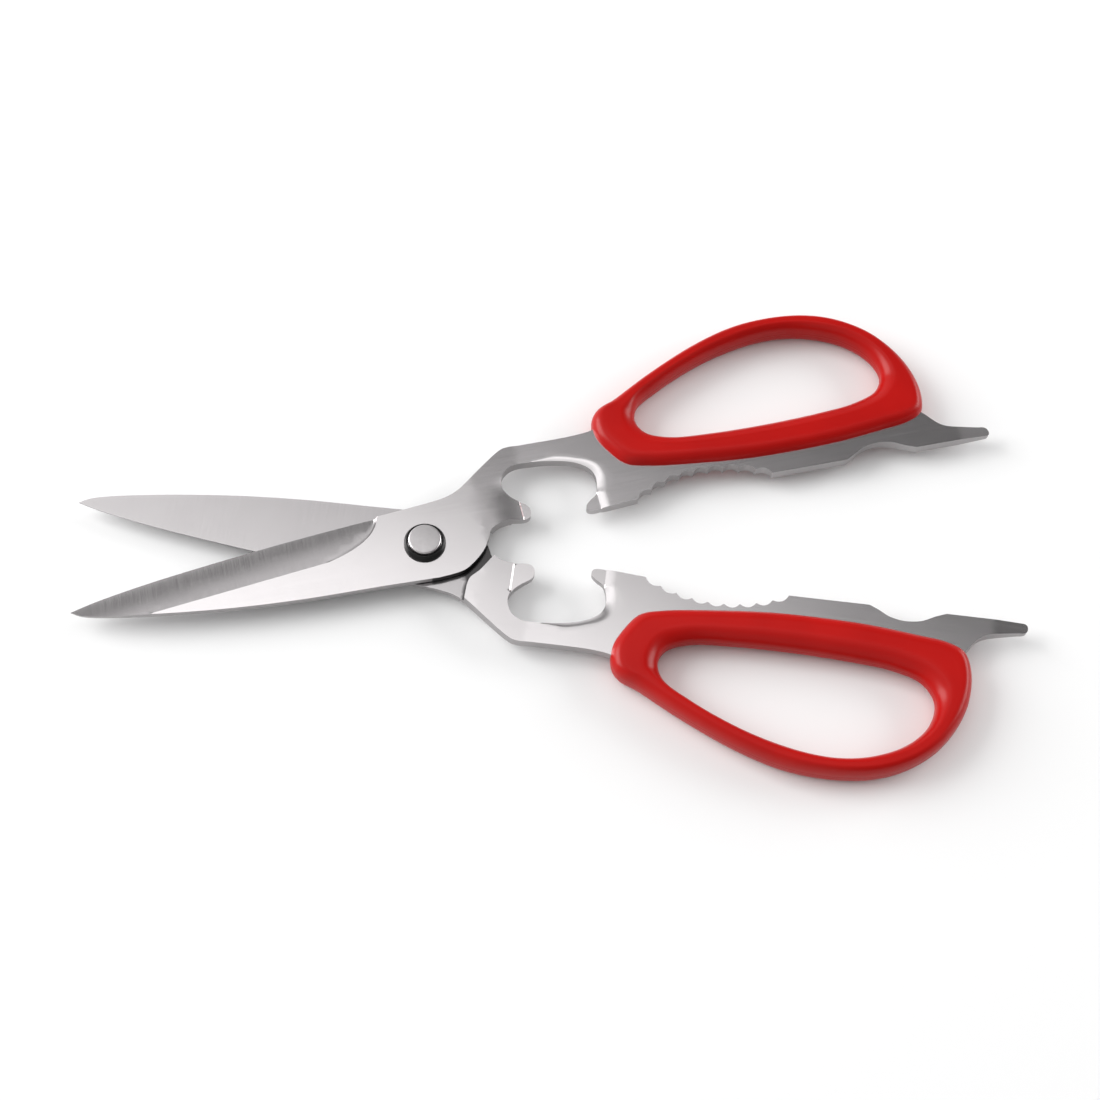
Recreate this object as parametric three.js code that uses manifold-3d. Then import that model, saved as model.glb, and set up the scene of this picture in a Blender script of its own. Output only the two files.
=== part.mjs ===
// Poultry shears: two stamped stainless halves turning on one pivot, each with a moulded loop grip.
//
// The shears lie flat with the blades open. Units are millimetres and +Z is up. The origin is on the
// pivot axis, at the plane that the shears rest on. The blades point along -X and the handles along +X.
//
// Both halves are the same stamping. It is drawn once, in its own frame: the pivot at the origin, the
// blade along -x, the handle along +x, the finger loop on +y, and z = 0 halfway through the plate. The
// front half keeps that frame, and the rear half is the same shape turned over about x. Each of them
// is then turned about the pivot by the opening angle at rest.

import * as THREE from "three";
import { mergeVertices } from "three/addons/utils/BufferGeometryUtils.js";
import Module from "manifold-3d";

const wasm = await Module();
wasm.setup();

// ---------------------------------------------------------------- driving dimensions

const restHalfAngle = THREE.MathUtils.degToRad(10.3); // each half's turn away from the closed pose

const plateThickness = 3; // in the blades and round the pivot
const handleThickness = 2.4;
const handleTaper = { start: 13, end: 24 }; // the plate thins from one to the other over this stretch
const lapGap = 0.3; // between the inner faces of the two blades
const fit = 0.3; // clearance between pieces that meet

const gripThickness = 7;
const gripRounding = 1.5; // how far the rounded edge of a grip reaches in from its outline
const gripRoundingHeight = 2.6; // how far it reaches down from the top and bottom faces

const toothThickness = 1.5; // the two teeth of the bone notch are thinned to this
const teeth = { left: 21.6, right: 39.4, low: -2, high: 7 }; // both tips lie inside this box
const tailThickness = 1.2; // at the tip of the screwdriver tail
const tailTaperStart = 123;
const tailEnd = 130.2;

const jaw = { start: 47.9, end: 78.7, y: 1.1, rise: 4, scallops: 9, scallopDepth: 0.85 };

const grindWidth = 7; // across the hollow-ground band of a blade
const grindWheelRadius = 50;
const edgeThickness = 0.25; // left at the cutting edge
const grindStart = new THREE.Vector2(-60, -4.2); // the band's lower border runs along this line
const grindEnd = new THREE.Vector2(-21, -0.2);

const pivotHoleRadius = 2.7;
const keyHoleRadius = 1.3; // the moulded grip locks through these holes in the tang
const keyHoles = [[46.3, 16.5], [64, 8.3], [84, 8.1], [104, 8.2]];

const shankRadius = 2.4;
const headRadius = 3.5;
const headHeight = 2.1; // above the face of the front half
const headChamfer = 0.25;
const collar = { inner: 3.7, outer: 4.5, top: 4.05, wall: 0.4, height: 1.2 };
const washer = { inner: 2.7, outer: 4.9, thickness: 0.5 };
const nut = { radius: 4.4, chamfer: 0.3, boreDepth: 0.8 };
const spannerHole = { radius: 0.6, offset: 3.5, depth: 0.7 }; // one each side of the nut's foot
const stackGap = 0.1; // between pieces stacked on the pivot

const faceZ = plateThickness / 2;
const lapZ = lapGap / 2;
const restZ = gripThickness / 2; // the grips and the nut stand on one plane, this far below z = 0

const roundSides = 48;
const wheelSides = 160;
const gripSides = { outside: 84, opening: 60 };
const curveSteps = 4; // between two points of a spline
const far = 100; // beyond every outline

// ---------------------------------------------------------------- outlines, in the frame of one half

const tip = [-75.4, 0.1];

const bladeSpine = [[-71.5, -1.8], [-60, -4.1], [-44, -6.3], [-28, -7.6], [-10, -8.2], [1.5, -8.7]];

const pivotBody = [[6.5, -8.2], [9.3, -6.7], [12, -4.3], [13.7, -1.6], [14.6, 0.2], [16.6, 1.5], [19, 1.9]];

const leftTooth = [[22.2, 1.4], [23.7, 1.9], [24.2, 3.3], [23.7, 4.8], [21.9, 6.2]];

const boneNotch = [
  [20.2, 7.9], [19.3, 10.4], [20.3, 13.4], [22.9, 15], [27, 15], [32, 14.3], [36.3, 13],
  [39.2, 10.9], [40.1, 8.4], [39.8, 5.9],
];

const rightTooth = [[39, 4.1], [37.5, 3.1], [36.4, 2], [36.4, 0.9], [37.6, 0.4], [39.4, 0.5]];

const bottleNotch = [
  [96, 0.8], [98, 1.7], [100.4, 3], [103.6, 3.6], [107.2, 3.1], [110.2, 1.6], [112.6, 0.6],
];

const tailTip = {
  start: [tailEnd - 1, 0.35],
  lowCorner: [tailEnd, 0.4],
  middle: [tailEnd, 1.4],
  highCorner: [tailEnd, 2.8],
};

const tailOutside = [[128.3, 2.8], [124.8, 3.5], [121.6, 4.3], [119.4, 5.6], [117.2, 8.4]];

const tang = [
  [115.6, 9.9], [112.5, 10.5], [58, 10.6], [52, 12.4], [49.2, 15.6], [48.6, 19.6], [46.4, 21.6], [43.6, 20.8],
];

const tangBeyondGrip = {
  tailSide: [[119, 3], [118.6, 6.9], [117.1, 8.6]],
  shankSide: [[41.5, 20], [39, 19.8], [39, 3]],
};

const shoulder = [
  [41.3, 20], [36, 19.6], [26, 19.7], [22.6, 19.8], [20.2, 19], [15.2, 15.4], [11.8, 12.8], [8.6, 10.8],
  [4, 9.7], [-8, 8.6],
];

const cuttingEdge = [[-16, 8.1], [-30, 6.9], [-44, 5.4], [-58, 3.6], [-69, 1.7]];

const gripOutside = [
  [42.4, 18.4], [44.4, 13.9], [47.3, 10.2], [52, 8.6], [64, 6.8], [75, 5.7], [86, 5.4], [96, 5.6],
  [106, 6.5], [113, 7.4], [116.6, 9.2], [118.1, 13.5], [117.8, 20], [115.9, 25.5], [111.5, 32],
  [105, 37], [98, 39.7], [89, 40.7], [80, 40], [70, 37], [58, 31.6], [48.5, 26.6], [44.4, 24.8], [42.7, 22.6],
];

const fingerLoop = [
  [52.4, 20.6], [54, 24.6], [60, 28.4], [67, 31.7], [75, 34.5], [84, 36.4], [91, 36.7], [98, 35.3],
  [105, 31.8], [109.6, 26.6], [110.7, 21], [108, 16.9], [102, 14.8], [94, 14], [82, 13.6], [68, 13.9],
  [58.5, 14.9], [53.8, 17.2],
];

const lapEnd = [
  [15.4, -4], [15, 0], [14.1, 1.9], [12.4, 4.6], [10.7, 6.5], [10.2, 8.2], [10.1, 9.8], [10, 20],
];

const grindRunOut = [[-17.2, 0.9], [-13.3, 2.7], [-10.3, 5.2], [-8.7, 8.6], [-8.4, 14]];

const vectors = (points) => points.map(([x, y]) => new THREE.Vector2(x, y));

// A smooth closed outline through the points, as a list of short sides.
function smoothLoop(points, sides) {
  const knots = points.map(([x, y]) => new THREE.Vector3(x, y, 0));
  const curve = new THREE.CatmullRomCurve3(knots, true, "centripetal");
  return curve.getSpacedPoints(sides).slice(0, sides).map((p) => new THREE.Vector2(p.x, p.y));
}

// The scalloped jaw: cusps on a shallow arc, with one round scallop cut between each pair.
function addJaw(shape) {
  const halfSpan = (jaw.end - jaw.start) / 2;
  const middle = jaw.start + halfSpan;
  const arcRadius = (halfSpan ** 2 + jaw.rise ** 2) / (2 * jaw.rise);
  const arcY = (x) => jaw.y + jaw.rise - arcRadius + Math.sqrt(arcRadius ** 2 - (x - middle) ** 2);
  const pitch = (jaw.end - jaw.start) / jaw.scallops;
  for (let i = 0; i < jaw.scallops; i += 1) {
    const from = new THREE.Vector2(jaw.start + i * pitch, arcY(jaw.start + i * pitch));
    const to = new THREE.Vector2(from.x + pitch, arcY(from.x + pitch));
    const along = to.clone().sub(from);
    const inward = new THREE.Vector2(-along.y, along.x).normalize();
    const crown = from.clone().lerp(to, 0.5).addScaledVector(inward, 2 * jaw.scallopDepth);
    shape.lineTo(from.x, from.y);
    shape.quadraticCurveTo(crown.x, crown.y, to.x, to.y);
  }
}

// One whole steel half, seen from its outer face.
function plateShape() {
  const shape = new THREE.Shape();
  shape.moveTo(...tip);
  shape.splineThru(vectors(bladeSpine));
  shape.splineThru(vectors(pivotBody));
  shape.splineThru(vectors(leftTooth));
  shape.splineThru(vectors(boneNotch));
  shape.splineThru(vectors(rightTooth));
  addJaw(shape);
  shape.lineTo(...bottleNotch[0]);
  shape.splineThru(vectors(bottleNotch.slice(1)));
  shape.lineTo(...tailTip.start);
  shape.quadraticCurveTo(...tailTip.lowCorner, ...tailTip.middle);
  shape.quadraticCurveTo(...tailTip.highCorner, ...tailOutside[0]);
  shape.splineThru(vectors(tailOutside.slice(1)));
  shape.splineThru(vectors(tang.slice(0, 2)));
  shape.lineTo(...tang[2]);
  shape.splineThru(vectors(tang.slice(3)));
  shape.splineThru(vectors(shoulder));
  shape.splineThru(vectors(cuttingEdge));
  shape.lineTo(...tip);
  shape.holes.push(...keyHoles.map(([x, y]) => circlePath(x, y, keyHoleRadius)));
  shape.holes.push(circlePath(0, 0, pivotHoleRadius));
  return shape;
}

// The part of the steel that a grip closes over, carried on past the grip's own border.
function tangShape() {
  const shape = new THREE.Shape(vectors(tangBeyondGrip.tailSide));
  shape.splineThru(vectors(tang.slice(0, 2)));
  shape.lineTo(...tang[2]);
  shape.splineThru(vectors(tang.slice(3)));
  tangBeyondGrip.shankSide.forEach(([x, y]) => shape.lineTo(x, y));
  shape.closePath();
  shape.holes.push(...keyHoles.map(([x, y]) => circlePath(x, y, keyHoleRadius)));
  return shape;
}

function circlePath(x, y, radius) {
  return new THREE.Path().absarc(x, y, radius, 0, 2 * Math.PI, true);
}

// Where the lap ends: the step that stands just outside the other half's edge when the shears close.
function lapShape() {
  const halfWidth = 20; // wider than any blade
  const nearEnd = [lapEnd[0][0], -halfWidth];
  const shape = new THREE.Shape(vectors([[-far, halfWidth], [-far, -halfWidth], nearEnd, lapEnd[0]]));
  shape.splineThru(vectors(lapEnd.slice(1)));
  shape.closePath();
  return shape;
}

// The hollow-ground band: along the grind line, then curving up to the cutting edge near the pivot.
function grindShape() {
  const beyondTip = new THREE.Vector2().lerpVectors(grindEnd, grindStart, 2);
  const shape = new THREE.Shape();
  shape.moveTo(beyondTip.x, beyondTip.y);
  shape.lineTo(grindEnd.x, grindEnd.y);
  shape.splineThru(vectors(grindRunOut));
  shape.lineTo(beyondTip.x, grindRunOut.at(-1)[1]);
  shape.closePath();
  return shape;
}

// ---------------------------------------------------------------- solids

function solid(geometry) {
  const bare = geometry.clone();
  bare.deleteAttribute("normal");
  bare.deleteAttribute("uv");
  const merged = mergeVertices(bare, 1e-4);
  return new wasm.Manifold(
    new wasm.Mesh({
      numProp: 3,
      vertProperties: merged.attributes.position.array,
      triVerts: new Uint32Array(merged.index.array),
    }),
  );
}

function geometryOf(manifold) {
  const { vertProperties, triVerts } = manifold.getMesh();
  const geometry = new THREE.BufferGeometry();
  geometry.setAttribute("position", new THREE.BufferAttribute(vertProperties, 3));
  geometry.setIndex(new THREE.BufferAttribute(triVerts, 1));
  return geometry;
}

function prism(shape, fromZ, toZ) {
  const settings = { depth: toZ - fromZ, bevelEnabled: false, curveSegments: curveSteps };
  return new THREE.ExtrudeGeometry(shape, settings).translate(0, 0, fromZ);
}

function block(from, to) {
  const size = new THREE.Vector3().subVectors(to, from);
  const centre = new THREE.Vector3().addVectors(from, to).divideScalar(2);
  return new THREE.BoxGeometry(size.x, size.y, size.z).translate(centre.x, centre.y, centre.z);
}

function drum(radius, fromZ, toZ) {
  return new THREE.CylinderGeometry(radius, radius, toZ - fromZ, roundSides)
    .rotateX(Math.PI / 2)
    .translate(0, 0, (fromZ + toZ) / 2);
}

// A turned piece: its profile is a closed list of [radius, z] points.
function turned(profile) {
  const points = vectors([...profile, profile[0]]);
  return new THREE.LatheGeometry(points, roundSides).rotateX(Math.PI / 2);
}

// The grinding wheel that hollows the outer face, from the face down to the cutting edge.
function grindingWheel() {
  const edgeZ = lapZ + edgeThickness;
  const drop = faceZ - edgeZ;
  const chord = Math.hypot(grindWidth, drop);
  const rise = Math.sqrt(grindWheelRadius ** 2 - (chord / 2) ** 2);
  const centreY = grindWidth / 2 + (rise * drop) / chord;
  const centreZ = (faceZ + edgeZ) / 2 + (rise * grindWidth) / chord;
  const slope = Math.atan2(grindEnd.y - grindStart.y, grindEnd.x - grindStart.x);
  return new THREE.CylinderGeometry(grindWheelRadius, grindWheelRadius, 2 * far, wheelSides)
    .rotateZ(Math.PI / 2)
    .translate(0, centreY, centreZ)
    .rotateZ(slope)
    .translate(grindStart.x, grindStart.y, 0);
}

// What is taken off one face of the handle: a short taper behind the pivot, then a flat, then the tail's
// wedge.
function thinningCutter(side) {
  const clear = plateThickness;
  const handleZ = handleThickness / 2;
  const outline = new THREE.Shape(
    vectors([
      [handleTaper.start, faceZ], [handleTaper.end, handleZ], [tailTaperStart, handleZ],
      [tailEnd, tailThickness / 2], [tailEnd + 1, tailThickness / 2], [tailEnd + 1, clear],
      [handleTaper.start, clear],
    ]),
  );
  return new THREE.ExtrudeGeometry(outline, { depth: far, bevelEnabled: false })
    .translate(0, 0, -far / 2)
    .rotateX(side * Math.PI / 2);
}

function steelHalf() {
  const plate = solid(prism(plateShape(), -faceZ, faceZ));
  const lapCutter = solid(prism(lapShape(), -far, lapZ));
  const grind = solid(grindingWheel()).intersect(solid(prism(grindShape(), lapZ, plateThickness)));
  const toothZ = toothThickness / 2;
  const toothCutters = [[-far, -toothZ], [toothZ, far]].map(([bottom, top]) => {
    const from = new THREE.Vector3(teeth.left, teeth.low, bottom);
    const to = new THREE.Vector3(teeth.right, teeth.high, top);
    return solid(block(from, to));
  });
  const faces = [-1, 1].map((side) => solid(thinningCutter(side)));
  return [lapCutter, grind, ...toothCutters, ...faces].reduce((body, cutter) => body.subtract(cutter), plate);
}

function gripHalf() {
  const outline = new THREE.Shape(smoothLoop(gripOutside, gripSides.outside));
  outline.holes.push(new THREE.Path(smoothLoop(fingerLoop, gripSides.opening)));
  const moulding = new THREE.ExtrudeGeometry(outline, {
    depth: gripThickness - 2 * gripRoundingHeight,
    bevelEnabled: true,
    bevelSize: gripRounding,
    bevelOffset: -gripRounding,
    bevelThickness: gripRoundingHeight,
    bevelSegments: 3,
  }).translate(0, 0, gripRoundingHeight - restZ);
  const slot = new THREE.ExtrudeGeometry(tangShape(), {
    depth: handleThickness,
    bevelEnabled: true,
    bevelSize: fit,
    bevelThickness: fit,
    bevelSegments: 1,
    curveSegments: curveSteps,
  }).translate(0, 0, -handleThickness / 2);
  return solid(moulding).subtract(solid(slot));
}

function boltGeometry() {
  const top = faceZ + headHeight;
  const underHead = faceZ + stackGap;
  const tipZ = nutTop() - nut.boreDepth + stackGap;
  return turned([
    [0, tipZ], [shankRadius, tipZ], [shankRadius, underHead], [headRadius, underHead],
    [headRadius, top - headChamfer], [headRadius - headChamfer, top], [0, top],
  ]);
}

function collarGeometry() {
  const base = faceZ + stackGap;
  return turned([
    [collar.inner, base], [collar.outer, base], [collar.outer, base + collar.wall],
    [collar.top, base + collar.height], [collar.inner, base + collar.height],
  ]);
}

function washerGeometry() {
  const top = -faceZ - stackGap;
  const bottom = top - washer.thickness;
  return turned([[washer.inner, bottom], [washer.outer, bottom], [washer.outer, top], [washer.inner, top]]);
}

function nutTop() {
  return -faceZ - 2 * stackGap - washer.thickness;
}

// A blind round nut, turned with a pin spanner that fits the two holes in its foot.
function nutSolid() {
  const boreEnd = nutTop() - nut.boreDepth;
  const body = solid(turned([
    [0, -restZ], [nut.radius - nut.chamfer, -restZ], [nut.radius, -restZ + nut.chamfer],
    [nut.radius, nutTop()], [pivotHoleRadius, nutTop()], [pivotHoleRadius, boreEnd], [0, boreEnd],
  ]));
  const hole = drum(spannerHole.radius, -far, -restZ + spannerHole.depth);
  return [-1, 1].reduce(
    (rest, side) => rest.subtract(solid(hole.clone().translate(side * spannerHole.offset, 0, 0))),
    body,
  );
}

// ---------------------------------------------------------------- the assembly

const steel = { color: 0xc9cacb, roughness: 0.32, metalness: 0.95 };
const redPlastic = { color: 0xc41e18, roughness: 0.38, metalness: 0 };
const blackPlastic = { color: 0x161616, roughness: 0.5, metalness: 0 };

function named(name, geometry, finish) {
  const mesh = new THREE.Mesh(geometry, new THREE.MeshStandardMaterial(finish));
  mesh.name = name;
  return mesh;
}

// A half lies on the pivot: side 1 is the front one as drawn, side -1 is the rear one, turned over.
function half(side) {
  const group = new THREE.Group();
  const flip = new THREE.Group();
  flip.rotation.x = side > 0 ? 0 : Math.PI;
  group.rotation.z = side * restHalfAngle;
  group.add(flip);
  const name = side > 0 ? "front" : "rear";
  flip.add(named(name + "_blade", geometryOf(steelHalf()), steel));
  flip.add(named(name + "_grip", geometryOf(gripHalf()), redPlastic));
  return group;
}

const shears = new THREE.Group();
shears.position.z = restZ;
shears.add(half(1));
shears.add(half(-1));
shears.add(named("pivot_bolt", boltGeometry(), steel));
shears.add(named("pivot_collar", collarGeometry(), blackPlastic));
shears.add(named("rear_washer", washerGeometry(), steel));
shears.add(named("pivot_nut", geometryOf(nutSolid()), steel));

export default shears;
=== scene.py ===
"""Open poultry shears: two stamped stainless halves on one pivot, each with a red moulded loop grip.

Both halves are one stamping, drawn once in its own frame in millimetres: the pivot at the origin, the
blade along -x, the handle along +x, the finger loop on +y and z = 0 halfway through the plate. The
outlines repeat those of the CAD model. The front half keeps that frame and the rear half is turned over
about x. Each is then turned about the pivot by the opening angle at rest, and written in metres in the
frame that the CAD model shares.
"""

import math

import bpy
import numpy as np
from mathutils import Matrix, Vector
from mathutils.geometry import delaunay_2d_cdt


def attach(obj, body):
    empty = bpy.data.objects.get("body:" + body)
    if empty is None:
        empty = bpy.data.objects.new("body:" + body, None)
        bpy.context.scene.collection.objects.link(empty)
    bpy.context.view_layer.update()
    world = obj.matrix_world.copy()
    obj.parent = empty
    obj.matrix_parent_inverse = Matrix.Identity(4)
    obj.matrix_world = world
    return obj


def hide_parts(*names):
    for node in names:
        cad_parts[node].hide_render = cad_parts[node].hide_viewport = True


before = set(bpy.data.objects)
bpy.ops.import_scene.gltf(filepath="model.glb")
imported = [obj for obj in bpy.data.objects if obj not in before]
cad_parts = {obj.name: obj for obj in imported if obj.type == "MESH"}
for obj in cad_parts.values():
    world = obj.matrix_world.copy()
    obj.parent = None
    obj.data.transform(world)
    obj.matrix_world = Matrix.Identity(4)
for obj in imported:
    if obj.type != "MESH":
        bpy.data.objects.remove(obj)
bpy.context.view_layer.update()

MM = 0.001
SIDES = {"front": 1, "rear": -1}

# ---------------------------------------------------------------- dimensions, in millimetres

REST_HALF_ANGLE = math.radians(10.3)  # each half's turn away from the closed pose
REST_Z = 3.5  # the plate's middle stands this far above the table

FACE_Z = 1.5  # half the plate's thickness in the blades and round the pivot
HANDLE_Z = 1.2  # half its thickness in the handle
HANDLE_TAPER = (13, 24)  # the plate thins to the handle between these places along x
TAIL_Z = 0.6  # half its thickness at the tail's end
TAIL_TAPER = (123, 130.2)
LAP_Z = 0.15  # how far the inner face lies from the plate's middle where the halves lap
LAP_STEP = 0.15  # the width of the wall at the end of the lap
TOOTH_Z = 0.75  # half the thickness of the two teeth's thinned tips
STEP_WIDTH = 0.3  # the width of the step down to the left tooth's tip
TEETH_X = 18  # the lap ends short of this, and the teeth begin past it

GRIND_WIDTH = 7
GRIND_RADIUS = 50
EDGE_Z = 0.4  # the ground face at the cutting edge
GRIND_START = (-60, -4.2)
GRIND_END = (-21, -0.2)
GRIND_LIMIT_X = -8  # the hollow-ground band ends short of this
RUN_OUT_WIDTH = 0.9  # the wall that the wheel leaves at the band's curved end
RUN_OUT_BLEND_X = GRIND_END[0] - 4  # the band's straight border has no such wall

LEFT_TOOTH_LIMITS = (26, 8.5)  # the left tooth lies below these in x and in y
LEFT_STEP_SPAN = (9, 0.8)  # the step down to its tip runs from this y to this one
OUTER_STEP_X = 22.1  # where that step is on the outer face
INNER_STEP_X = 19.4
RIGHT_TOOTH_START, RIGHT_TOOTH_TOP = 34, 6.5  # the right tooth lies past this x and below this y
RIGHT_STEP_X = 39.36
RIGHT_STEP_TOP, RIGHT_STEP_FOOT = 4.85, 0.51
RIGHT_STEP_WIDTH = 0.02  # that step is nearly upright
ON_STEP = 0.005  # points this little past it are still on its foot

DISH_DEPTH = 0.25  # the outer face sinks by this much beside the left tooth
DISH_X, DISH_LENGTH = 16, 6.5  # it starts to sink here, over this length
DISH_TOP, DISH_HEIGHT = 13, 5  # and from this y down, over this height

NOTCH_SIDE_X = (26.9, 41)  # the bone notch's far side, whose edge is rounded, lies between these
NOTCH_SIDE_TOP = 15.1
SOFT_RUN = (0, 5, 9.5, 14)  # lengths along that edge
SOFT_WIDTHS = (0, 1.2, 1.2, 2.2)  # the width of its rounding at each of them
SOFT_FALL = 0.12  # the rounding's depth for each millimetre of its width
SOFT_END_Y = -3  # the rounding's line runs on past the plate to here

LAP_SHADE_Y, LAP_SHADE_REACH = (3.5, 7), (7, 0.7)  # painted shade in the lap's corner, under the other half's nose, reaches further near the spine
LAP_SHADE_SHARPNESS = 1.5
WALL_SHADE_X, WALL_SHADE = (-21, -15), (0, 0.55)  # painted shade on the run-out's wall, which takes its highlight off, grows along x
WALL_SHADE_REACH = 1.5  # in widths of that wall
OUTLINE_LIGHTENING_REACH = 0.35  # how far the lightening reaches from the outline
NOSE_X, NOSE_Y, NOSE_SLOPE = 8, -4.6, 0.5  # painted shade darkens the wall round the pivot below a line through here, where the halves shadow it
NOSE_END_X = 16

GRIP_Z = 3.499  # half the moulding's thickness
INNER_ROUND, INNER_FULLNESS = 3.3, 1.15  # the rounding towards the finger opening, and 1 is a true ellipse
OUTER_ROUND, OUTER_FULLNESS = 2.3, 1.05
INNER_SHARE, OUTER_SHARE = 0.38, 0.36  # the most of a narrow section's width that a rounding takes
ROUND_HEIGHT = 2.9
SEAM = 0.05  # the moulding's parting line stands this proud of its side walls
SEAM_Z = 0.12  # half the parting line's height
WALL_SHARE = 0.6  # the side walls are drawn up to this share of their height, and then the rounding's foot
INSET = 0.01  # the moulding keeps this far inside the CAD model's outline

HEAD_RADIUS, HEAD_TOP = 3.5, 3.599
STUD_RADIUS, STUD_FOOT = 2.4, -2.93
RING_INNER, RING_OUTER, RING_SHOULDER = 3.7, 4.5, 4.05
RING_HEIGHT, RING_SHOULDER_HEIGHT = 1.2, 0.4
PIVOT_GAP = 0.1  # between the face and what stands on it
WASHER_INNER, WASHER_OUTER = 2.7, 4.9
WASHER_TOP, WASHER_FOOT = -1.6, -2.1
NUT_RADIUS, NUT_TOP, NUT_FOOT = 4.4, -2.2, -3.499
NUT_BORE, NUT_BORE_END = 2.7, -3.0

# ---------------------------------------------------------------- outlines, in the frame of one half

TIP = (-75.39, 0.1)
BLADE_SPINE = [(-71.5, -1.8), (-60, -4.1), (-44, -6.3), (-28, -7.6), (-10, -8.2), (1.5, -8.7)]
PIVOT_BODY = [(6.5, -8.2), (9.3, -6.7), (12, -4.3), (13.7, -1.6), (14.6, 0.2), (16.6, 1.5), (19, 1.9)]
LEFT_TOOTH = [(22.2, 1.4), (23.7, 1.9), (24.2, 3.3), (23.7, 4.8), (21.9, 6.2)]
BONE_NOTCH = [
    (20.2, 7.9), (19.3, 10.4), (20.3, 13.4), (22.9, 15), (27, 15), (32, 14.3), (36.3, 13),
    (39.2, 10.9), (40.1, 8.4), (39.8, 5.9),
]
RIGHT_TOOTH = [(39, 4.1), (37.5, 3.1), (36.4, 2), (36.4, 0.9), (37.6, 0.4), (39.4, 0.5)]
JAW_START, JAW_END, JAW_Y = 47.9, 78.7, 1.1  # the scalloped jaw's ends
JAW_RISE = 4  # how far its arc bows into the handle
SCALLOPS, SCALLOP_DEPTH = 9, 0.85
BOTTLE_NOTCH = [(96, 0.8), (98, 1.7), (100.4, 3), (103.6, 3.6), (107.2, 3.1), (110.2, 1.6), (112.6, 0.6)]
TAIL_END = 130.18
TAIL_TIP = [(TAIL_END - 1, 0.35), (TAIL_END, 0.4), (TAIL_END, 1.4), (TAIL_END, 2.8)]
TAIL_OUTSIDE = [(128.3, 2.8), (124.8, 3.5), (121.6, 4.3), (119.4, 5.6), (117.2, 8.4)]
TANG_START = [(115.6, 9.9), (112.5, 10.5)]
TANG_LINE_END = (58, 10.6)
TANG_END = [(52, 12.4), (49.2, 15.6), (48.6, 19.6), (46.4, 21.6), (43.6, 20.8)]
SHOULDER = [
    (41.3, 20), (36, 19.6), (26, 19.7), (22.6, 19.8), (20.2, 19), (15.2, 15.4), (11.8, 12.8), (8.6, 10.8),
    (4, 9.7), (-8, 8.6),
]
CUTTING_EDGE = [(-16, 8.1), (-30, 6.9), (-44, 5.4), (-58, 3.6), (-69, 1.7), TIP]
PIVOT_HOLE_RADIUS = 2.7
KEY_HOLE_RADIUS = 1.3
KEY_HOLES = [(46.3, 16.5), (64, 8.3), (84, 8.1), (104, 8.2)]

GRIP_OUTSIDE = [
    (42.4, 18.4), (44.4, 13.9), (47.3, 10.2), (52, 8.6), (64, 6.8), (75, 5.7), (86, 5.4), (96, 5.6),
    (106, 6.5), (113, 7.4), (116.6, 9.2), (118.1, 13.5), (117.8, 20), (115.9, 25.5), (111.5, 32),
    (105, 37), (98, 39.7), (89, 40.7), (80, 40), (70, 37), (58, 31.6), (48.5, 26.6), (44.4, 24.8),
    (42.7, 22.6),
]
FINGER_LOOP = [
    (52.4, 20.6), (54, 24.6), (60, 28.4), (67, 31.7), (75, 34.5), (84, 36.4), (91, 36.7), (98, 35.3),
    (105, 31.8), (109.6, 26.6), (110.7, 21), (108, 16.9), (102, 14.8), (94, 14), (82, 13.6), (68, 13.9),
    (58.5, 14.9), (53.8, 17.2),
]

LAP_BORDER = [
    (15.4, -4), (15, 0), (14.1, 1.9), (12.4, 4.6), (10.7, 6.5), (10.2, 8.2), (10.1, 9.8), (10, 14),
]
GRIND_RUN_OUT = [(-17.2, 0.9), (-13.3, 2.7), (-10.3, 5.2), (-8.7, 8.6), (-8.4, 14)]

# ---------------------------------------------------------------- how finely things are drawn

SPACING = 0.5  # between the outline's points
FILL_SPACING = 2.4  # between the points of the open faces
FILL_MARGIN = 2  # the open faces' points keep this far from the outline
ROW_PITCH = 0.87  # their rows' distance, as a share of their spacing, for even triangles
EDGE_RINGS = ((0.35, 1), (1.0, 2), (2.2, 2))  # rings inside the outline: offset, and every how many points
SOFT_SHARES = (0.06, 0.16, 0.3, 0.45, 0.6, 0.8, 1)  # lines along the rounded edge, as shares of its width
RUN_OUT_SHARES = (0.15, 0.35, 0.6, 1)
LAP_MARGINS = (0.35, 0.9, 2)  # lines along the lap's border, inside the lap
RING_CLEARANCE = 0.96  # a ring's point stays if it is this share of its offset from every edge
HOLE_MARGIN = 0.3
SNAP_GAP, SNAP_REACH = 0.25, 1  # a line ends this near the outline, and looks this far for a point of it
LINE_MARGIN = 0.1  # loose points keep this far from a line
CROWDED = 0.05  # and this far from each other
FINER_PARTS = 5  # the outline's pieces where a line meets it
BEND_STEPS = 6
SPLINE_STEPS = 50
PIVOT_HOLE_SIDES, KEY_HOLE_SIDES, PIVOT_SIDES = 64, 32, 96
GRIP_STATIONS, GRIP_SAMPLES = 260, 900
TURN_WEIGHT = 5  # the stations crowd where the finger opening turns
INNER_ROUND_POINTS, OUTER_ROUND_POINTS = 11, 9
TOP_SHARES = (0.25, 0.5, 0.75)  # points across a grip's flat top
CORNER_SHARES = (0, 0.17, 0.34, 0.5, 0.66, 0.83, 1)  # points round a turned piece's corner
CHUNK = 1000  # points measured at a time

# ---------------------------------------------------------------- curves


def hermite(a, b, slope_a, slope_b, t):
    return (
        (2 * a - 2 * b + slope_a + slope_b) * t**3
        + (3 * b - 3 * a - 2 * slope_a - slope_b) * t**2
        + slope_a * t
        + a
    )


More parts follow.
